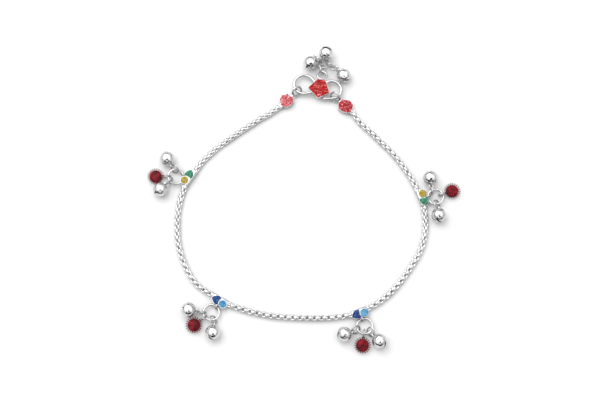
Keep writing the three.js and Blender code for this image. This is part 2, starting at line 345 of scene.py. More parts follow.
@dataclass(frozen=True)
class EnamelFinish:
    """Glossy enamel: cloudy colour with fine curled lines where the metal under it is chased."""

    hue: str
    deep: Colour
    clear: Colour
    line: Colour
    clouds_per_mm: float = 1.2
    lines_per_mm: float = 0.8
    line_width: float = 0.12
    line_strength: float = 0.6
    cloud_edge: Span = (0.34, 0.68)
    grains_per_mm: float = 9.0
    relief: float = 0.09
    rough: Span = (0.14, 0.34)

    @property
    def name(self) -> str:
        """The material's name."""
        return f"{self.hue}_enamel"

    @property
    def slot(self) -> str:
        """The record's material slot."""
        return f"enamel_{self.hue}"

    def build(self) -> bpy.types.Material:
        """Makes the material."""
        graph = Graph.of_material(self.name)
        clouds = graph.noise(self.clouds_per_mm, 3.0, 0.4).ramp(*self.cloud_edge)
        curls = (graph.noise(self.lines_per_mm, 1.0, 1.6) - 0.5).size()
        gaps = (graph.noise(self.lines_per_mm * 1.7, 1.0, 0.8) - 0.5).size()
        lines = (1 - curls.ramp(0.0, self.line_width)) * gaps.ramp(0.0, 0.12)
        grain = graph.noise(self.grains_per_mm, 2.0)
        body = graph.mix(clouds, self.deep, self.clear)
        height = lines * 0.8 + clouds * 0.5 + grain * 0.12
        graph.set(
            base_color=graph.mix(lines * self.line_strength, body, self.line),
            roughness=(clouds * 0.5 + grain * 0.5).spread(*self.rough),
            coat_weight=0.03,
            coat_roughness=0.1,
            specular_ior_level=0.05,
            normal=graph.bump(height, self.relief),
        )
        return graph.owner


@dataclass(frozen=True)
class StoneFinish:
    """A dark red stone with brighter patches and a brownish cloud."""

    name: str
    deep: Colour
    bright: Colour
    cloud: Colour
    patches_per_mm: float = 0.55
    clouds_per_mm: float = 0.28
    specks_per_mm: float = 3.5
    relief: float = 0.05
    slot: str = "ruby"

    def build(self) -> bpy.types.Material:
        """Makes the material."""
        graph = Graph.of_material(self.name)
        patches = graph.noise(self.patches_per_mm, 3.0, 0.6).ramp(0.4, 0.62)
        clouds = graph.noise(self.clouds_per_mm, 2.0).ramp(0.46, 0.7)
        specks = graph.noise(self.specks_per_mm, 3.0).ramp(0.3, 0.75)
        body = graph.mix(patches, self.deep, self.bright)
        shaded = graph.mix(clouds * 0.75, body, self.cloud)
        graph.set(
            base_color=graph.mix(specks * 0.25, shaded, self.deep),
            roughness=(specks * 0.6 + patches * 0.4).spread(0.18, 0.4),
            specular_ior_level=0.08,
            normal=graph.bump(patches * 0.7 + specks * 0.3, self.relief),
        )
        return graph.owner


class Finish(Enum):
    """The anklet's finishes."""

    CHAIN_SILVER = SilverFinish(
        "chain_silver", (0.67, 0.67, 0.67), (0.44, 0.44, 0.445), (0.12, 0.28), 1.4, 0.03
    )
    BELL_SILVER = SilverFinish(
        "bell_silver", (0.68, 0.68, 0.685), (0.5, 0.5, 0.505), (0.04, 0.12), 1.1, 0.17
    )
    WIRE_SILVER = SilverFinish(
        "wire_silver", (0.51, 0.51, 0.515), (0.34, 0.34, 0.345), (0.08, 0.2), 1.2, 0.03
    )
    # The setting's silver is painted dark red: a painted reflection of the red stone, not the
    # metal's own colour.
    SETTING_SILVER = SilverFinish(
        "setting_painted_reflection", (0.13, 0.014, 0.02), (0.05, 0.006, 0.009), (0.25, 0.4), 1.2, 0.03
    )
    GREEN = EnamelFinish(
        "green", (0.008, 0.088, 0.048), (0.034, 0.211, 0.116), (0.238, 0.462, 0.354)
    )
    YELLOW = EnamelFinish(
        "yellow", (0.22, 0.14, 0.007), (0.34, 0.24, 0.014), (0.5, 0.44, 0.2), line_strength=0.8
    )
    NAVY = EnamelFinish("navy", (0.004, 0.013, 0.082), (0.009, 0.045, 0.185), (0.11, 0.22, 0.42))
    SKY = EnamelFinish("sky", (0.02, 0.14, 0.31), (0.055, 0.25, 0.42), (0.36, 0.54, 0.6))
    ROSE = EnamelFinish(
        "rose", (0.29, 0.015, 0.023), (0.38, 0.042, 0.052), (0.8, 0.4, 0.41), 0.8, 0.62, 0.13, 0.85
    )
    GARNET = EnamelFinish(
        "garnet", (0.2, 0.006, 0.01), (0.28, 0.012, 0.02), (0.76, 0.24, 0.25), 0.8, 0.62, 0.12, 0.85
    )
    RED = EnamelFinish(
        "red", (0.23, 0.001, 0.002), (0.34, 0.003, 0.003), (0.95, 0.38, 0.37), 0.5, 0.5, 0.034, 1.0
    )
    RUBY = StoneFinish(
        "mottled_ruby", (0.058, 0.002, 0.004), (0.245, 0.006, 0.016), (0.054, 0.008, 0.007)
    )

    def material(self) -> bpy.types.Material:
        """The finish's material, made when it is first wanted."""
        return bpy.data.materials.get(self.value.name) or self.value.build()


# ---- shared modelling


def merge(target: BMesh, source: BMesh, place: Matrix) -> None:
    """Adds a copy of the source to the target, at a place."""
    spare = source.copy()
    bmesh.ops.transform(spare, matrix=place, verts=spare.verts)
    mesh = bpy.data.meshes.new("spare")
    spare.to_mesh(mesh)
    spare.free()
    target.from_mesh(mesh)
    bpy.data.meshes.remove(mesh)


def add_object(name: str, data: bpy.types.ID) -> bpy.types.Object:
    """Puts a new object with some data into the scene."""
    made = bpy.data.objects.new(name, data)
    bpy.context.scene.collection.objects.link(made)
    return made


def publish(
    name: str,
    shape: BMesh,
    place: Matrix,
    finish: Finish,
    *nodes: str,
    sharp: float = SHARP_ANGLE,
) -> None:
    """Turns a finished shape into a piece of the anklet.

    Args:
        name: the piece's name.
        shape: the shape, in millimetres, which is freed.
        place: puts it in the layout.
        finish: its finish, which knows the record's material slot.
        nodes: the frame's nodes that it stands for.
        sharp: edges that turn more than this are drawn sharp.
    """
    bmesh.ops.transform(shape, matrix=TO_FRAME @ place, verts=shape.verts)
    bmesh.ops.recalc_face_normals(shape, faces=shape.faces)
    for face in shape.faces:
        face.smooth = True
    for edge in shape.edges:
        edge.smooth = edge.calc_face_angle(0.0) < sharp
    mesh = bpy.data.meshes.new(name)
    shape.to_mesh(mesh)
    shape.free()
    mesh.materials.append(finish.material())
    piece = add_object(name, mesh)
    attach(piece, BODY)
    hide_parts(*nodes)
    LOG.info("%s: %d faces", name, len(mesh.polygons))


def of_kind(parts: list, kind: type) -> list:
    """The elements of one kind in an operator's result."""
    return [part for part in parts if isinstance(part, kind)]


def edges_of(verts: list[BMVert]) -> list[BMEdge]:
    """Every edge at some vertices, once, in their order."""
    return list(dict.fromkeys(edge for vert in verts for edge in vert.link_edges))


def extrude_rim(shape: BMesh, edges: list[BMEdge]) -> tuple[list[BMVert], list[BMEdge]]:
    """Extrudes the edges of a rim.

    Args:
        shape: holds the edges.
        edges: the rim.

    Returns:
        The new rim's vertices and its edges.
    """
    grown = bmesh.ops.extrude_edge_only(shape, edges=edges)["geom"]
    verts = of_kind(grown, BMVert)
    fresh = set(verts)
    rim = [edge for edge in of_kind(grown, BMEdge) if fresh.issuperset(edge.verts)]
    return verts, rim


def add_ring(
    shape: BMesh,
    radius: float,
    wire: float,
    place: Matrix = Matrix(),
    steps: int = 40,
    sides: int = 12,
) -> None:
    """Spins a round wire into a closed ring that lies flat about its middle.

    Args:
        shape: takes the ring.
        radius: of the wire's centre line.
        wire: its diameter.
        place: moves and turns the ring.
        steps: pieces round the ring.
        sides: of the wire.
    """
    section = shifted(radius) @ UPRIGHT
    verts = bmesh.ops.create_circle(shape, segments=sides, radius=wire / 2, matrix=section)["verts"]
    known = set(shape.verts) - set(verts)
    bmesh.ops.spin(
        shape,
        geom=[*verts, *edges_of(verts)],
        cent=(0.0, 0.0, 0.0),
        axis=(0.0, 0.0, 1.0),
        angle=math.tau,
        steps=steps,
        use_merge=True,
    )
    ring = [vert for vert in shape.verts if vert not in known]
    bmesh.ops.transform(shape, matrix=place, verts=ring)


def add_sweep(shape: BMesh, frames: list[Matrix], wire: float, sides: int) -> None:
    """Sweeps a round wire along places with X ahead, and rounds its two ends.

    Args:
        shape: takes the wire.
        frames: places along it.
        wire: its diameter.
        sides: of the wire.
    """
    tips = [(0.0, 1.0), (0.35, 0.93), (0.7, 0.68), (0.93, 0.36)]
    radius = wire / 2
    blunt = [shifted(reach * radius) @ Matrix.Scale(size, 4) for reach, size in tips]
    back = turned(180, "Z")
    start = [frames[0] @ back @ tip @ back for tip in reversed(blunt)]
    end = [frames[-1] @ tip for tip in blunt]
    places = [*start, *frames[1:-1], *end]
    made = bmesh.ops.create_circle(
        shape, cap_ends=True, segments=sides, radius=radius, matrix=places[0] @ FACING_X
    )
    edges = [edge for edge in edges_of(made["verts"]) if edge.is_boundary]
    for before, after in zip(places, places[1:]):
        verts, edges = extrude_rim(shape, edges)
        bmesh.ops.transform(shape, matrix=after @ before.inverted(), verts=verts)
    bmesh.ops.contextual_create(shape, geom=edges)


def circle_points(radius: float, count: int, middle: Point = (0.0, 0.0)) -> list[Point]:
    """Points evenly round a circle."""
    turns = [math.tau * k / count for k in range(count)]
    return [(middle[0] + radius * math.cos(a), middle[1] + radius * math.sin(a)) for a in turns]


def add_outline(shape: BMesh, corners: list[Point], height: float) -> BMFace:
    """A level face that looks up.

    Args:
        shape: takes the face.
        corners: in order.
        height: of the face.

    Returns:
        The face.
    """
    face = shape.faces.new([shape.verts.new((x, y, height)) for x, y in corners])
    face.normal_update()
    if face.normal.z < 0:
        face.normal_flip()
    return face


def raise_face(shape: BMesh, face: BMFace, rise: float, keep: bool = False) -> BMFace:
    """Extrudes a level face upwards.

    Args:
        shape: holds the face.
        face: a lone face, or a solid's top.
        rise: how far it goes.
        keep: leaves a lone face behind as the floor.

    Returns:
        The raised face.
    """
    grown = bmesh.ops.extrude_face_region(shape, geom=[face], use_keep_orig=keep)["geom"]
    verts = of_kind(grown, BMVert)
    bmesh.ops.translate(shape, verts=verts, vec=(0.0, 0.0, rise))
    return of_kind(grown, BMFace)[0]


def sink_face(shape: BMesh, face: BMFace, rim: float, depth: float, draft: float) -> None:
    """Sinks a face inside a rim.

    Args:
        shape: holds the face.
        face: the solid's top.
        rim: width of the rim.
        depth: of the hollow.
        draft: how far its walls lean in.
    """
    for thickness, rise in ((rim, 0.0), (draft, -depth)):
        bmesh.ops.inset_region(shape, faces=[face], thickness=thickness, depth=rise)


def add_dome(
    shape: BMesh,
    corners: list[Point],
    bottom: float,
    top: float,
    crown: float,
    rings: tuple[Span, ...],
) -> None:
    """A closed slab whose top rises in rounded rings, like set enamel.

    Each ring is the outline drawn in towards its own middle, so a hollow outline stays whole.

    Args:
        shape: takes the slab.
        corners: its outline.
        bottom: height of its underside.
        top: height where its side ends.
        crown: how far the top rises.
        rings: size and height of each ring as shares of the outline and the rise, in order.
    """
    face = raise_face(shape, add_outline(shape, corners, bottom), top - bottom, keep=True)
    middle = sum((Vector(corner) for corner in corners), Vector((0.0, 0.0))) / len(corners)
    size, height = 1.0, 0.0
    for new_size, new_height in rings:
        face = raise_face(shape, face, crown * (new_height - height))
        shrink = Matrix.Diagonal((new_size / size, new_size / size, 1.0, 1.0))
        centre = shifted(middle.x, middle.y, 0.0)
        bmesh.ops.transform(
            shape, matrix=centre @ shrink @ centre.inverted(), verts=list(face.verts)
        )
        size, height = new_size, new_height


@dataclass(frozen=True)
class Block:
    """A block between two corners, with edges softened over a width."""

    low: Point3
    high: Point3
    soften: float

    def add(self, shape: BMesh, place: Matrix = Matrix()) -> None:
        """Adds the block to a shape, at a place."""
        low, high = Vector(self.low), Vector(self.high)
        size = Matrix.Diagonal((*(high - low), 1.0))
        matrix = place @ Matrix.Translation((high + low) / 2) @ size
        edges = edges_of(bmesh.ops.create_cube(shape, size=1.0, matrix=matrix)["verts"])
        bmesh.ops.bevel(
            shape,
            geom=edges,
            offset=self.soften,
            segments=3,
            affect="EDGES",
            profile=0.5,
            material=-1,
        )


# ---- chain


@dataclass
class ChainLink:
    """One broad-wire link: a rounded square loop, with its plane across Z."""

    length: float = 2.36
    width: float = 2.14
    wire: float = 0.68
    broad: float = 1.36
    corner: float = 0.6
    corner_steps: int = 3
    sides: int = 8
    weld: float = 0.001

    def build(self) -> BMesh:
        """Sweeps the flat wire round the link's four corners, about the link's middle."""
        shape = bmesh.new()
        reach = (self.length - self.wire) / 2 - self.corner
        side = (self.width - self.wire) / 2 - self.corner
        start = shifted(reach, -side - self.corner, 0.0) @ FACING_X
        half_side = Matrix.Rotation(math.pi / self.sides, 4, "Z")
        flat = Matrix.Diagonal((self.broad / self.wire, 1.0, 1.0, 1.0)) @ half_side
        verts = bmesh.ops.create_circle(
            shape, segments=self.sides, radius=self.wire / 2, matrix=start @ flat
        )["verts"]
        edges = edges_of(verts)
        hubs = [(reach, -side), (reach, side), (-reach, side), (-reach, -side)]
        for hub, following in zip(hubs, [*hubs[1:], hubs[0]]):
            made = bmesh.ops.spin(
                shape,
                geom=[*verts, *edges],
                cent=(*hub, 0.0),
                axis=(0.0, 0.0, 1.0),
                angle=math.pi / 2,
                steps=self.corner_steps,
            )["geom_last"]
            verts, edges = extrude_rim(shape, of_kind(made, BMEdge))
            step = (following[0] - hub[0], following[1] - hub[1], 0.0)
            bmesh.ops.translate(shape, verts=verts, vec=step)
        bmesh.ops.remove_doubles(shape, verts=shape.verts, dist=self.weld)
        return shape


@dataclass
class ChainStretch:
    """A stretch of box chain, its links turned a quarter turn in turn, with a slow twist."""

    name: str
    ends: tuple[Point, Point]
    points: tuple[Point, ...]
    twist: Span
    pitch: float = 1.25
    height: float = 1.1
    reach: float = 0.5
    loose: float = 3.0
    link: ChainLink = field(default_factory=ChainLink)

    def build(self) -> None:
        """Lays the links along the route."""
        dice = random.Random(self.name)
        route = Route((self.ends[0], *self.points, self.ends[1]), self.height)
        count = round((route.length() + self.reach) / self.pitch)
        single = self.link.build()
        shape = bmesh.new()
        low, high = self.twist
        for index, frame in enumerate(route.frames(count)):
            share = index / (count - 1)
            roll = low + (high - low) * share + 90 * (index % 2) + dice.uniform(-1, 1) * self.loose
            wag = dice.uniform(-1, 1) * self.loose / 2
            merge(shape, single, frame @ turned(wag, "Z") @ turned(roll, "X"))
        single.free()
        names = f"links_{self.name}", f"chain_{self.name}"
        finish = Finish.CHAIN_SILVER
        publish(names[0], shape, Matrix(), finish, names[1], sharp=LINK_SHARP_ANGLE)


# ---- stations


def bent(start: Point, handle: Point, end: Point, count: int) -> list[Point]:
    """Points of a curve that bends towards a handle, without its end."""
    points = []
    for t in (k / count for k in range(count)):
        a, b, c = (1 - t) ** 2, 2 * t * (1 - t), t * t
        points.append(tuple(a * p + b * q + c * r for p, q, r in zip(start, handle, end)))
    return points


@dataclass
class Station:
    """A silver bar in the chain with a leaf enamel, a round enamel and a hang loop."""

    name: str
    at: Point
    heading: float
    leaf_finish: Finish
    round_finish: Finish
    bar: Block = Block((-0.9, -3.1, 0.12), (0.9, 3.1, 2.12), 0.55)
    tongue: Block = Block((-0.45, -0.7, -0.6), (0.45, 0.7, 0.6), 0.2)
    tongue_at: Point = (3.2, 1.1)
    cup_bottom: float = 1.74
    cup_top: float = 2.4
    rim: float = 0.1
    crown: float = 0.3
    rings: tuple[Span, ...] = ((0.96, 0.35), (0.86, 0.65), (0.68, 0.88), (0.4, 1.0))
    round_radius: float = 1.52
    round_at: Point = (1.2, 1.5)
    leaf_at: Point = (0.95, -1.4)
    leaf_sizes: Span = (1.1, 1.01)
    leaf_steps: int = 6
    round_steps: int = 28
    loop_radius: float = 1.12
    loop_wire: float = 0.5
    loop_out: float = 2.82
    loop_height: float = 1.4
    solder: Block = Block((0.5, -0.4, 1.05), (1.8, 0.4, 1.75), 0.18)

    def leaf_outline(self, scale: float) -> list[Point]:
        """The scaled leaf's corners: hollow by the round cup, with a tip to one side."""
        runs = [
            ((-1.5, 1.3), (-0.7, 0.0), (-1.5, -1.3)),
            ((-1.5, -1.3), (-0.1, -2.05), (0.95, -0.95)),
            ((0.95, -0.95), (1.45, -0.5), (1.65, 0.25)),
            ((1.65, 0.25), (1.35, 0.75), (0.7, 1.1)),
            ((0.7, 1.1), (-0.4, 1.95), (-1.5, 1.3)),
        ]
        flat = [point for run in runs for point in bent(*run, self.leaf_steps)]
        out, along = self.leaf_at
        return [(out + v * scale, along - u * scale) for u, v in flat]

    def round_outline(self, radius: float) -> list[Point]:
        """The round cup's corners."""
        return circle_points(radius, self.round_steps, self.round_at)

    def metal(self) -> BMesh:
        """The bar, its two tongues, the two cups and the loop, soldered."""
        shape = bmesh.new()
        self.bar.add(shape)
        for side in (-1, 1):
            self.tongue.add(shape, shifted(0.0, side * self.tongue_at[0], self.tongue_at[1]))
        rise = self.cup_top - self.cup_bottom
        outlines = (self.leaf_outline(self.leaf_sizes[0]), self.round_outline(self.round_radius))
        for corners in outlines:
            base = add_outline(shape, corners, self.cup_bottom)
            sink_face(shape, raise_face(shape, base, rise, keep=True), self.rim, HOLLOW, DRAFT)
        stand = shifted(self.loop_out, 0.0, self.loop_height) @ UPRIGHT
        add_ring(shape, self.loop_radius, self.loop_wire, stand, steps=32, sides=10)
        self.solder.add(shape)
        return shape

    def build(self) -> None:
        """Makes the metal and its two enamels."""
        place = Placement((*self.at, 0.0), self.heading).matrix()
        metal = Finish.WIRE_SILVER
        publish(f"bar_{self.name}", self.metal(), place, metal, f"station_{self.name}")
        fills = (
            ("leaf", self.leaf_outline(self.leaf_sizes[1]), self.leaf_finish),
            ("round", self.round_outline(self.round_radius - self.rim), self.round_finish),
        )
        for kind, corners, finish in fills:
            shape = bmesh.new()
            bottom = self.cup_top - HOLLOW
            add_dome(shape, corners, bottom, self.cup_top, self.crown, self.rings)
            node = f"{kind}_enamel_{self.name}"
            publish(f"{kind}_fill_{self.name}", shape, place, finish, node)


# ---- bells and rings


@dataclass
class Bell:
    """A hollow ball with a slot, a soldered wire loop and the jump ring through it."""

    name: str
    at: Point3
    heading: float
    slope: float
    roll: float | None
    bend: float
    radius: float = 2.65
    wall: float = 0.3
    slot: float = 0.62
    slot_reach: float = 1.7
    loop_radius: float = 0.7
    loop_wire: float = 0.42
    loop_centre: float = 3.15
    ring_radius: float = 1.53
    ring_wire: float = 0.54
    solder_radii: Span = (0.62, 0.3)
    solder_height: float = 0.42
    solder_sink: float = 0.05

    def ball(self) -> BMesh:
        """The slotted hollow ball about its middle, with its loop on +X."""
        shape = bmesh.new()
        bmesh.ops.create_uvsphere(
            shape, u_segments=48, v_segments=32, radius=self.radius, matrix=FACING_X
        )
        half = self.slot / 2
        for plane, reach in (((0, 1, 0), half), ((0, 0, 1), self.slot_reach)):
            for side in (-1, 1):
                far = [face for face in shape.faces if face.calc_center_median().x < 0]
                parts = {part for face in far for part in (face, *face.edges, *face.verts)}
                bmesh.ops.bisect_plane(
                    shape,
                    geom=list(parts),
                    plane_co=Vector(plane) * side * reach,
                    plane_no=Vector(plane),
                    dist=0.0001,
                )
        mouth = []
        for face in shape.faces:
            spot = face.calc_center_median()
            if spot.x < 0 and abs(spot.y) < half and abs(spot.z) < self.slot_reach:
                mouth.append(face)
        bmesh.ops.delete(shape, geom=mouth, context="FACES")
        rims = [edge for edge in shape.edges if edge.is_boundary]
        whole = [*shape.verts, *shape.edges, *shape.faces]
        verts = of_kind(bmesh.ops.duplicate(shape, geom=whole)["geom"], BMVert)
        bmesh.ops.scale(shape, verts=verts, vec=[1 - self.wall / self.radius] * 3)
        fresh = set(verts)
        inner_rims = [e for e in shape.edges if e.is_boundary and e.verts[0] in fresh]
        bmesh.ops.bridge_loops(shape, edges=[*rims, *inner_rims])
        outside = shifted(self.loop_centre)
        add_ring(shape, self.loop_radius, self.loop_wire, outside, steps=28, sides=10)
        wide, narrow = self.solder_radii
        bmesh.ops.create_cone(
            shape,
            cap_ends=True,
            segments=20,
            radius1=wide,
            radius2=narrow,
            depth=self.solder_height,
            matrix=shifted(self.radius - self.solder_sink) @ FACING_X,
        )
        return shape

    def build(self) -> None:
        """Makes the ball and its jump ring, which a bell without a roll has not got."""
        turn = 90 if self.roll is None else self.roll - 90
        place = Placement(self.at, self.heading, self.slope, turn)
        finish = Finish.BELL_SILVER
        publish(f"ball_{self.name}", self.ball(), place.matrix(), finish, f"bell_{self.name}")
        if self.roll is None:
            return
        heading = self.heading + self.bend
        course = Placement(tuple(place.along(self.loop_centre)), heading, self.slope)
        middle = tuple(course.along(self.ring_radius))
        ring_place = Placement(middle, heading, self.slope, self.roll)
        WireRing(f"jump_ring_{self.name}", ring_place, self.ring_radius, self.ring_wire).build()


@dataclass
class WireRing:
    """A closed ring of round wire."""

    node: str
    place: Placement
    radius: float
    wire: float

    def build(self) -> None:
        """Makes the ring."""
        shape = bmesh.new()
        add_ring(shape, self.radius, self.wire, steps=48, sides=14)
        publish(f"wire_{self.node}", shape, self.place.matrix(), Finish.WIRE_SILVER, self.node)


# ---- ruby drops


@dataclass
class Drop:
    """A flat red stone in a setting of thin prongs, with a big upright loop."""

    name: str
    at: Point
    heading: float
    cup_radius: float = 2.2
    cup_bottom: float = 0.2
    cup_rise: float = 1.15
    cup_rim: float = 0.05
    cup_depth: float = 0.4
    cup_draft: float = 0.01
    prongs: int = 20
    prong_from: float = 1.9
    prong_to: float = 2.96
    prong_width: float = 0.38
    prong_taper: float = 1.2
    prong_height: float = 1.3
    prong_lean: float = 24.0
    stone_radius: float = 2.12
    stone_bottom: float = 1.0
    stone_girdle: float = 1.5
    stone_crown: float = 0.5
    stone_rings: tuple[Span, ...] = ((0.86, 0.5), (0.62, 0.86), (0.34, 1.0))
    loop_radius: float = 1.45
    loop_wire: float = 0.5
    loop_centre: float = 4.15
    loop_height: float = 1.75
    solder: Block = Block((2.3, -0.25, 0.9), (2.9, 0.25, 1.6), 0.15)

    def setting(self) -> BMesh:
        """The cup and its prongs, whose silver is painted dark red: a painted reflection of the red
        stone.
        """
        shape = bmesh.new()
        base = add_outline(shape, circle_points(self.cup_radius, 40), self.cup_bottom)
        top = raise_face(shape, base, self.cup_rise, keep=True)
        sink_face(shape, top, self.cup_rim, self.cup_depth, self.cup_draft)
        length = self.prong_to - self.prong_from
        lean = turned(-self.prong_lean, "Y")
        for index in range(self.prongs):
            turn = Matrix.Rotation(math.tau * (index + 0.5) / self.prongs, 4, "Z")
            root = shifted(self.prong_from, 0.0, self.prong_height)
            place = turn @ root @ lean @ FACING_X
            bmesh.ops.create_cone(
                shape,
                cap_ends=True,
                segments=6,
                radius1=self.prong_width / 2,
                radius2=self.prong_width / 2 / self.prong_taper,
                depth=length / math.cos(math.radians(self.prong_lean)),
                matrix=place @ shifted(0.0, 0.0, length / 2),
            )
        return shape

    def loop(self) -> BMesh:
        """The upright loop and its solder."""
        shape = bmesh.new()
        stand = shifted(self.loop_centre, 0.0, self.loop_height) @ UPRIGHT
        add_ring(shape, self.loop_radius, self.loop_wire, stand)
        self.solder.add(shape)
        return shape

    def stone(self) -> BMesh:
        """The closed, low-faceted stone."""
        shape = bmesh.new()
        corners = circle_points(self.stone_radius, 16)
        crown, rings = self.stone_crown, self.stone_rings
        add_dome(shape, corners, self.stone_bottom, self.stone_girdle, crown, rings)
        return shape

    def build(self) -> None:
        """Makes the loop, the setting and the stone."""
        place = Placement((*self.at, 0.0), self.heading).matrix()
        crown, ruby = f"drop_crown_{self.name}", f"drop_ruby_{self.name}"
        publish(f"drop_loop_{self.name}", self.loop(), place, Finish.WIRE_SILVER, crown)
        # The setting's silver carries the painted dark red reflection of the stone.
        publish(f"setting_{self.name}", self.setting(), place, Finish.SETTING_SILVER, crown)
        publish(f"stone_{self.name}", self.stone(), place, Finish.RUBY, ruby)


# ---- clasp


def shrunk(corners: list[Point], distance: float) -> list[Point]:
    """Corners moved inwards by a distance.

    Args:
        corners: counterclockwise.
        distance: how far the sides move.

    Returns:
        The new corners.
    """
    moved = []
    spots = [Vector(corner) for corner in corners]
    for before, here, after in zip([spots[-1], *spots], spots, [*spots[1:], spots[0]]):
        sides = (here - before, after - here)
        a, b = (Vector((-side.y, side.x)).normalized() for side in sides)
        spot = here + (a + b) * (distance / (1 + a.dot(b)))
        moved.append((spot.x, spot.y))
    return moved


def add_tray(shape: BMesh, corners: list[Point], bottom: float, top: float, rim: float) -> None:
    """A plate with a softened foot, a thin raised rim and a hollow for enamel.

    Args:
        shape: takes the tray.
        corners: its outline, counterclockwise.
        bottom: height of its underside.
        top: height of its rim.
        rim: the rim's width.
    """
    foot_rise, foot_inset = 0.12, 0.1
    foot = add_outline(shape, shrunk(corners, foot_inset), bottom)
    face = raise_face(shape, foot, foot_rise, keep=True)
    bmesh.ops.inset_region(shape, faces=[face], thickness=-foot_inset, depth=0.0)
    sink_face(shape, raise_face(shape, face, top - bottom - foot_rise), rim, HOLLOW, DRAFT)


@dataclass
class EndCap:
    """The bud-shaped enamelled end of the chain, with its ring round the hook."""

    name: str
    at: Point
    heading: float
    roll: float
    enamel: Finish
    corners: tuple[Point, ...]
    grow: float = 0.12
    bottom: float = 0.2
    top: float = 2.1
    rim: float = 0.05
    crown: float = 0.28
    ring_out: float = 5.12
    ring_radius: float = 1.85
    ring_wire: float = 0.78
    ring_height: float = 1.95
    neck: Block = Block((1.6, -0.5, 1.25), (3.42, 0.5, 2.05), 0.22)
    tail: Block = Block((-3.7, -0.5, 0.5), (-2.5, 0.5, 1.6), 0.25)
    rings: tuple[Span, ...] = ((0.975, 0.45), (0.92, 0.75), (0.8, 0.95), (0.5, 1.0))

    def outline(self, distance: float) -> list[Point]:
        """The bud's corners, moved inwards by a distance."""
        return shrunk(list(self.corners), distance - self.grow)

    def metal(self) -> BMesh:
        """The tray, the neck with its ring and the tail in the chain, soldered."""
        shape = bmesh.new()
        add_tray(shape, self.outline(0.0), self.bottom, self.top, self.rim)
        self.neck.add(shape)
        place = shifted(self.ring_out, 0.0, self.ring_height) @ turned(self.roll, "X")
        add_ring(shape, self.ring_radius, self.ring_wire, place, steps=44, sides=14)
        self.tail.add(shape)
        return shape

    def build(self) -> None:
        """Makes the metal and its enamel."""
        place = Placement((*self.at, 0.0), self.heading).matrix()
        publish(f"bud_{self.name}", self.metal(), place, Finish.WIRE_SILVER, f"end_cap_{self.name}")
        fill = bmesh.new()
        corners = self.outline(self.rim + DRAFT)
        add_dome(fill, corners, self.top - HOLLOW, self.top, self.crown, self.rings)
        publish(f"bud_fill_{self.name}", fill, place, self.enamel, f"cap_enamel_{self.name}")


@dataclass
class Hook:
    """The S-shaped wire hook with its five-cornered enamelled plate and top loop."""

    wire: float = 1.1
    height: float = 1.7
    steps: int = 110
    sides: int = 18
    route: tuple[Point, ...] = (
        (7.6, 39.6), (9.2, 39.5), (10.8, 39.57), (13.05, 40.5), (14.1, 43.0), (13.05, 45.5),
        (10.65, 46.45), (8.3, 45.7), (6.2, 43.7), (3.6, 42.2), (0.15, 41.5), (-2.45, 42.6),
        (-3.5, 45.15), (-2.4, 47.75), (0.15, 48.8), (2.7, 47.9), (4.5, 45.9),
    )
    corners: tuple[Point, ...] = (
        (5.4, 39.45), (9.56, 41.46), (8.03, 46.32), (5.28, 46.71), (1.88, 43.35),
    )
    plate_bottom: float = 2.1
    plate_top: float = 3.15
    rim: float = 0.06
    overhang: float = 0.16
    crown: float = 0.3
    loop_at: Point3 = (6.95, 48.65, 2.05)
    loop_slope: float = 16.0
    loop_radius: float = 1.75
    loop_wire: float = 0.7
    solder: Block = Block((6.2, 45.9, 2.15), (7.4, 47.1, 2.75), 0.18)
    rings: tuple[Span, ...] = ((0.98, 0.5), (0.94, 0.8), (0.84, 0.97), (0.5, 1.0))

    def build(self) -> None:
        """Makes the metal and its enamel."""
        shape = bmesh.new()
        frames = Route(self.route, self.height).frames(self.steps)
        add_sweep(shape, frames, self.wire, self.sides)
        corners = shrunk(list(self.corners), -self.overhang)
        add_tray(shape, corners, self.plate_bottom, self.plate_top, self.rim)
        place = shifted(*self.loop_at) @ turned(-self.loop_slope, "X")
        add_ring(shape, self.loop_radius, self.loop_wire, place, steps=44, sides=14)
        self.solder.add(shape)
        publish("s_hook", shape, Matrix(), Finish.WIRE_SILVER, "hook")
        fill = bmesh.new()
        inner = shrunk(corners, self.rim + DRAFT)
        bottom = self.plate_top - HOLLOW
        add_dome(fill, inner, bottom, self.plate_top, self.crown, self.rings)
        publish("s_hook_fill", fill, Matrix(), Finish.RED, "hook_enamel")


# ---- the whole anklet


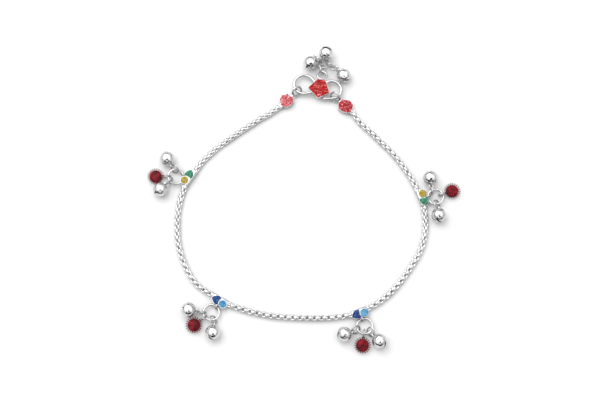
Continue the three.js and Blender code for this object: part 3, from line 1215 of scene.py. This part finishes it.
@dataclass
class Anklet:
    """The layout of every sub-assembly round the loop."""

    station_half: float = 3.1
    gap: float = 0.35
    bud_tail: float = 2.9
    stations: tuple[Station, ...] = (
        Station("left", (-41.55, 8.45), 147.7, Finish.GREEN, Finish.YELLOW),
        Station("front_left", (-29.32, -36.08), -121, Finish.NAVY, Finish.SKY),
        Station("front_right", (19.7, -40.32), -69.3, Finish.NAVY, Finish.SKY),
        Station("right", (42.67, 0.95), 18.7, Finish.GREEN, Finish.YELLOW),
    )
    caps: tuple[EndCap, ...] = (
        EndCap(
            "left", (-6.22, 38.82), 42.1, 52, Finish.ROSE,
            (
                (1.79, 0.8), (1.9, 1.75), (0.7, 1.85), (0.25, 2.6), (-1.7, 1.94), (-2.77, -0.19),
                (-2.02, -1.84), (-0.45, -2.4), (1.28, -2.12), (2.38, -0.63),
            ),
        ),
        EndCap(
            "right", (15.68, 36.66), 138.4, -52, Finish.GARNET,
            (
                (2.5, -1.2), (2.6, 1.02), (1.32, 2.5), (-0.68, 2.48), (-2.33, 1.63), (-3.05, 0.3),
                (-1.66, -2.13), (0.13, -2.5), (1.65, -1.4),
            ),
        ),
    )
    chains: tuple[tuple[str, Span, tuple[Point, ...]], ...] = (
        ("back_left", (26.0, 38.0), (
            (-12.4, 33.9), (-16.1, 31.75), (-19.8, 29.2), (-23.5, 26.7), (-27.1, 24.0),
            (-30.8, 21.4), (-34.4, 18.1), (-37.7, 14.5),
        )),
        ("left", (45.0, 15.0), (
            (-44.75, 1.0), (-45.5, -3.1), (-45.7, -6.9), (-45.6, -10.6), (-45.3, -14.3),
            (-44.5, -18.0), (-43.3, -21.7), (-41.65, -25.3), (-39.2, -29.2), (-35.7, -32.4),
        )),
        ("front", (20.0, 6.0), (
            (-22.6, -39.2), (-19.0, -40.25), (-15.5, -41.1), (-11.9, -41.75), (-8.4, -42.15),
            (-4.8, -42.4), (-1.3, -42.6), (2.3, -42.65), (5.8, -42.65), (9.4, -42.5),
            (12.9, -42.15),
        )),
        ("right", (15.0, 45.0), (
            (27.0, -36.7), (30.8, -33.6), (34.5, -29.5), (38.0, -24.8), (40.3, -21.2),
            (42.1, -17.9), (43.3, -14.3), (44.0, -10.6), (44.1, -6.8),
        )),
        ("back_right", (20.0, 0.0), (
            (39.0, 9.5), (35.45, 15.0), (31.9, 19.4), (28.25, 23.1), (24.6, 26.9),
            (21.0, 30.3),
        )),
    )
    hang_rings: tuple[tuple[str, Placement], ...] = (
        ("left", Placement((-46.65, 9.36, 1.6), -5, 9)),
        ("front_left", Placement((-32.68, -40.72, 1.42), 60, 5)),
        ("front_right", Placement((21.6, -45.6, 1.42), 110, 5)),
        ("right", Placement((48.1, 1.75, 1.42), 180, 5)),
    )
    hang_radius: float = 2.8
    hang_wire: float = 0.76
    cluster: tuple[tuple[str, Placement, float, float], ...] = (
        ("cluster_ring", Placement((7.5, 53.6, 1.55), 90, 16, 0), 2.0, 0.66),
        ("cluster_link_hook", Placement((7.2, 51.0, 1.82), 90, 0, 60), 1.53, 0.54),
        ("cluster_link_bell", Placement((9.85, 52.8, 1.9), -26, 0, 90), 1.53, 0.54),
    )
    bells: tuple[Bell, ...] = (
        Bell("left_back", (-49.96, 15.92, 2.75), -52, 13, 50, 0),
        Bell("left_front", (-52.1, 4.2, 2.75), 45, 8, 90, 0),
        Bell("front_left_side", (-40.65, -40.0, 3.1), -8, 14, 90, 0),
        Bell("front_left_front", (-32.0, -48.05, 2.75), 90, 14, 45, 0),
        Bell("front_right_side", (14.3, -48.65, 2.75), 23, 14, 45, 0),
        Bell("front_right_front", (26.64, -51.06, 2.75), 131, 14, -45, 0),
        Bell("right_back", (46.2, 8.6, 2.75), -84, 11, 90, 0),
        Bell("right_front", (48.9, -5.5, 2.75), 96, 14, 45, 0),
        Bell("clasp_left", (2.6, 53.35, 2.75), 56, 10, 90, -93),
        Bell("clasp_back", (8.5, 56.87, 3.84), -107, 62, None, 0),
        Bell("clasp_right", (15.0, 48.3, 2.75), 135, 10.5, 35, 0),
    )
    drops: tuple[tuple[str, Point], ...] = (
        ("left", (-54.13, 9.56)),
        ("front_left", (-38.8, -45.18)),
        ("front_right", (20.69, -52.36)),
        ("right", (54.2, 4.05)),
    )

    def chain_ends(self) -> list[tuple[Point, Point]]:
        """Where each stretch starts and finishes, in the order of travel."""
        reach = self.station_half + self.gap
        leaving = [ahead(s.at, s.heading + 90, reach) for s in self.stations]
        arriving = [ahead(s.at, s.heading - 90, reach) for s in self.stations]
        tails = [ahead(c.at, c.heading + 180, self.bud_tail + self.gap) for c in self.caps]
        return list(zip([tails[0], *leaving], [*arriving, tails[1]]))

    def build(self) -> None:
        """Makes every piece, in the order of the loop."""
        for (name, twist, points), ends in zip(self.chains, self.chain_ends()):
            ChainStretch(name, ends, points, twist).build()
        for part in (*self.stations, *self.caps, *self.bells, Hook()):
            part.build()
        for name, place in self.hang_rings:
            WireRing(f"hang_ring_{name}", place, self.hang_radius, self.hang_wire).build()
        for name, place, radius, wire in self.cluster:
            WireRing(name, place, radius, wire).build()
        for (name, at), (_, ring) in zip(self.drops, self.hang_rings):
            heading = math.degrees(math.atan2(ring.at[1] - at[1], ring.at[0] - at[0]))
            Drop(name, at, heading).build()


# ---- studio


@dataclass
class DarkPatch:
    """A soft dark shape in the surroundings, which polished metal shows."""

    azimuth: float
    elevation: float
    width: float
    height: float
    depth: float
    soft: Span = (0.5, 1.3)


@dataclass
class Studio:
    """The pale floor, the bright surroundings, the lamp and the camera."""

    floor_size: float = 3.0
    floor_colour: Colour = (0.67, 0.67, 0.67)
    zenith: float = 1.64
    horizon: float = 0.42
    tent_edge: Span = (0.05, 0.75)
    tent_colour: Colour = (1.0, 1.0, 1.0)
    camera_at: Point3 = (-0.00128, -0.11147, 0.41132)
    target: Point3 = (-0.00128, -0.00126, 0.0)
    lens: float = 70.0
    sensor: float = 36.0
    lamp_at: Point3 = (-0.35, 0.4, 0.8)
    lamp_size: float = 0.9
    lamp_power: float = 6.0
    patches: tuple[DarkPatch, ...] = (
        DarkPatch(12.0, 57.0, 17.0, 18.0, 1.0),
        DarkPatch(-8.0, 17.0, 62.0, 15.0, 0.95),
        DarkPatch(-34.0, 33.0, 13.0, 7.0, 0.9),
        DarkPatch(38.0, 30.0, 11.0, 8.0, 0.85),
        DarkPatch(180.0, 20.0, 40.0, 9.0, 0.6),
    )

    def floor(self) -> None:
        """The plain pale floor."""
        shape = bmesh.new()
        bmesh.ops.create_grid(shape, x_segments=1, y_segments=1, size=self.floor_size / 2)
        mesh = bpy.data.meshes.new("floor")
        shape.to_mesh(mesh)
        shape.free()
        graph = Graph.of_material("floor")
        graph.set(base_color=(*self.floor_colour, 1.0), roughness=0.9, specular_ior_level=0.1)
        mesh.materials.append(graph.owner)
        floor = add_object("floor", mesh)

    def surroundings(self) -> None:
        """A bright tent, greyer towards the horizon, with soft dark patches for metal to mirror."""
        world = bpy.data.worlds.new("studio")
        bpy.context.scene.world = world
        graph = Graph(world, "Background")
        direction = graph.node("ShaderNodeTexCoord", output="Generated")

        def facing(axis: Vector) -> Wire:
            """How far the direction looks along an axis."""
            values = {0: direction, 1: tuple(axis)}
            return graph.node("ShaderNodeVectorMath", {"operation": "DOT_PRODUCT"}, values, "Value")

        low, high = self.tent_edge
        level = facing(Vector((0.0, 0.0, 1.0))).ramp(low, high).spread(self.horizon, self.zenith)
        for patch in self.patches:
            turn, lift = math.radians(patch.azimuth), math.radians(patch.elevation)
            flat = math.cos(lift)
            middle = Vector((math.sin(turn) * flat, -math.cos(turn) * flat, math.sin(lift)))
            side = Vector((math.cos(turn), math.sin(turn), 0.0))
            across = facing(side) / math.sin(math.radians(patch.width))
            upward = facing(side.cross(middle)) / math.sin(math.radians(patch.height))
            reach = across * across + upward * upward
            behind = 1 - facing(middle).ramp(0.0, 0.2)
            level = level * (reach + behind * 10).ramp(*patch.soft).spread(1 - patch.depth, 1.0)
        background = graph.shader.inputs
        background["Color"].default_value = (*self.tent_colour, 1.0)
        graph.feed(background["Strength"], level)

    def lamp(self) -> None:
        """A square lamp behind the loop that looks at it."""
        data = bpy.data.lights.new("key_lamp", "AREA")
        data.size = self.lamp_size
        data.energy = self.lamp_power
        lamp = add_object("key_lamp", data)
        lamp.location = self.lamp_at
        lamp.rotation_euler = (-Vector(self.lamp_at)).to_track_quat("-Z", "Y").to_euler()

    def camera(self) -> None:
        """The camera, above the front of the loop."""
        data = bpy.data.cameras.new("camera")
        data.lens = self.lens
        data.sensor_width = self.sensor
        data.clip_start = 0.01
        camera = add_object("camera", data)
        camera.location = self.camera_at
        sight = Vector(self.target) - Vector(self.camera_at)
        camera.rotation_euler = sight.to_track_quat("-Z", "Y").to_euler()
        bpy.context.scene.camera = camera

    def build(self) -> None:
        """Sets the whole stage."""
        self.camera()
        self.floor()
        self.surroundings()
        self.lamp()
        bpy.context.scene.view_settings.view_transform = "Standard"
        bpy.context.scene.view_settings.look = "None"


def main() -> None:
    """Loads the frame, sets the studio and builds the anklet round it."""
    logging.basicConfig(level=logging.INFO, format="%(name)s %(message)s")
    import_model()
    Studio().build()
    Anklet().build()


if __name__ == "__main__":
    main()
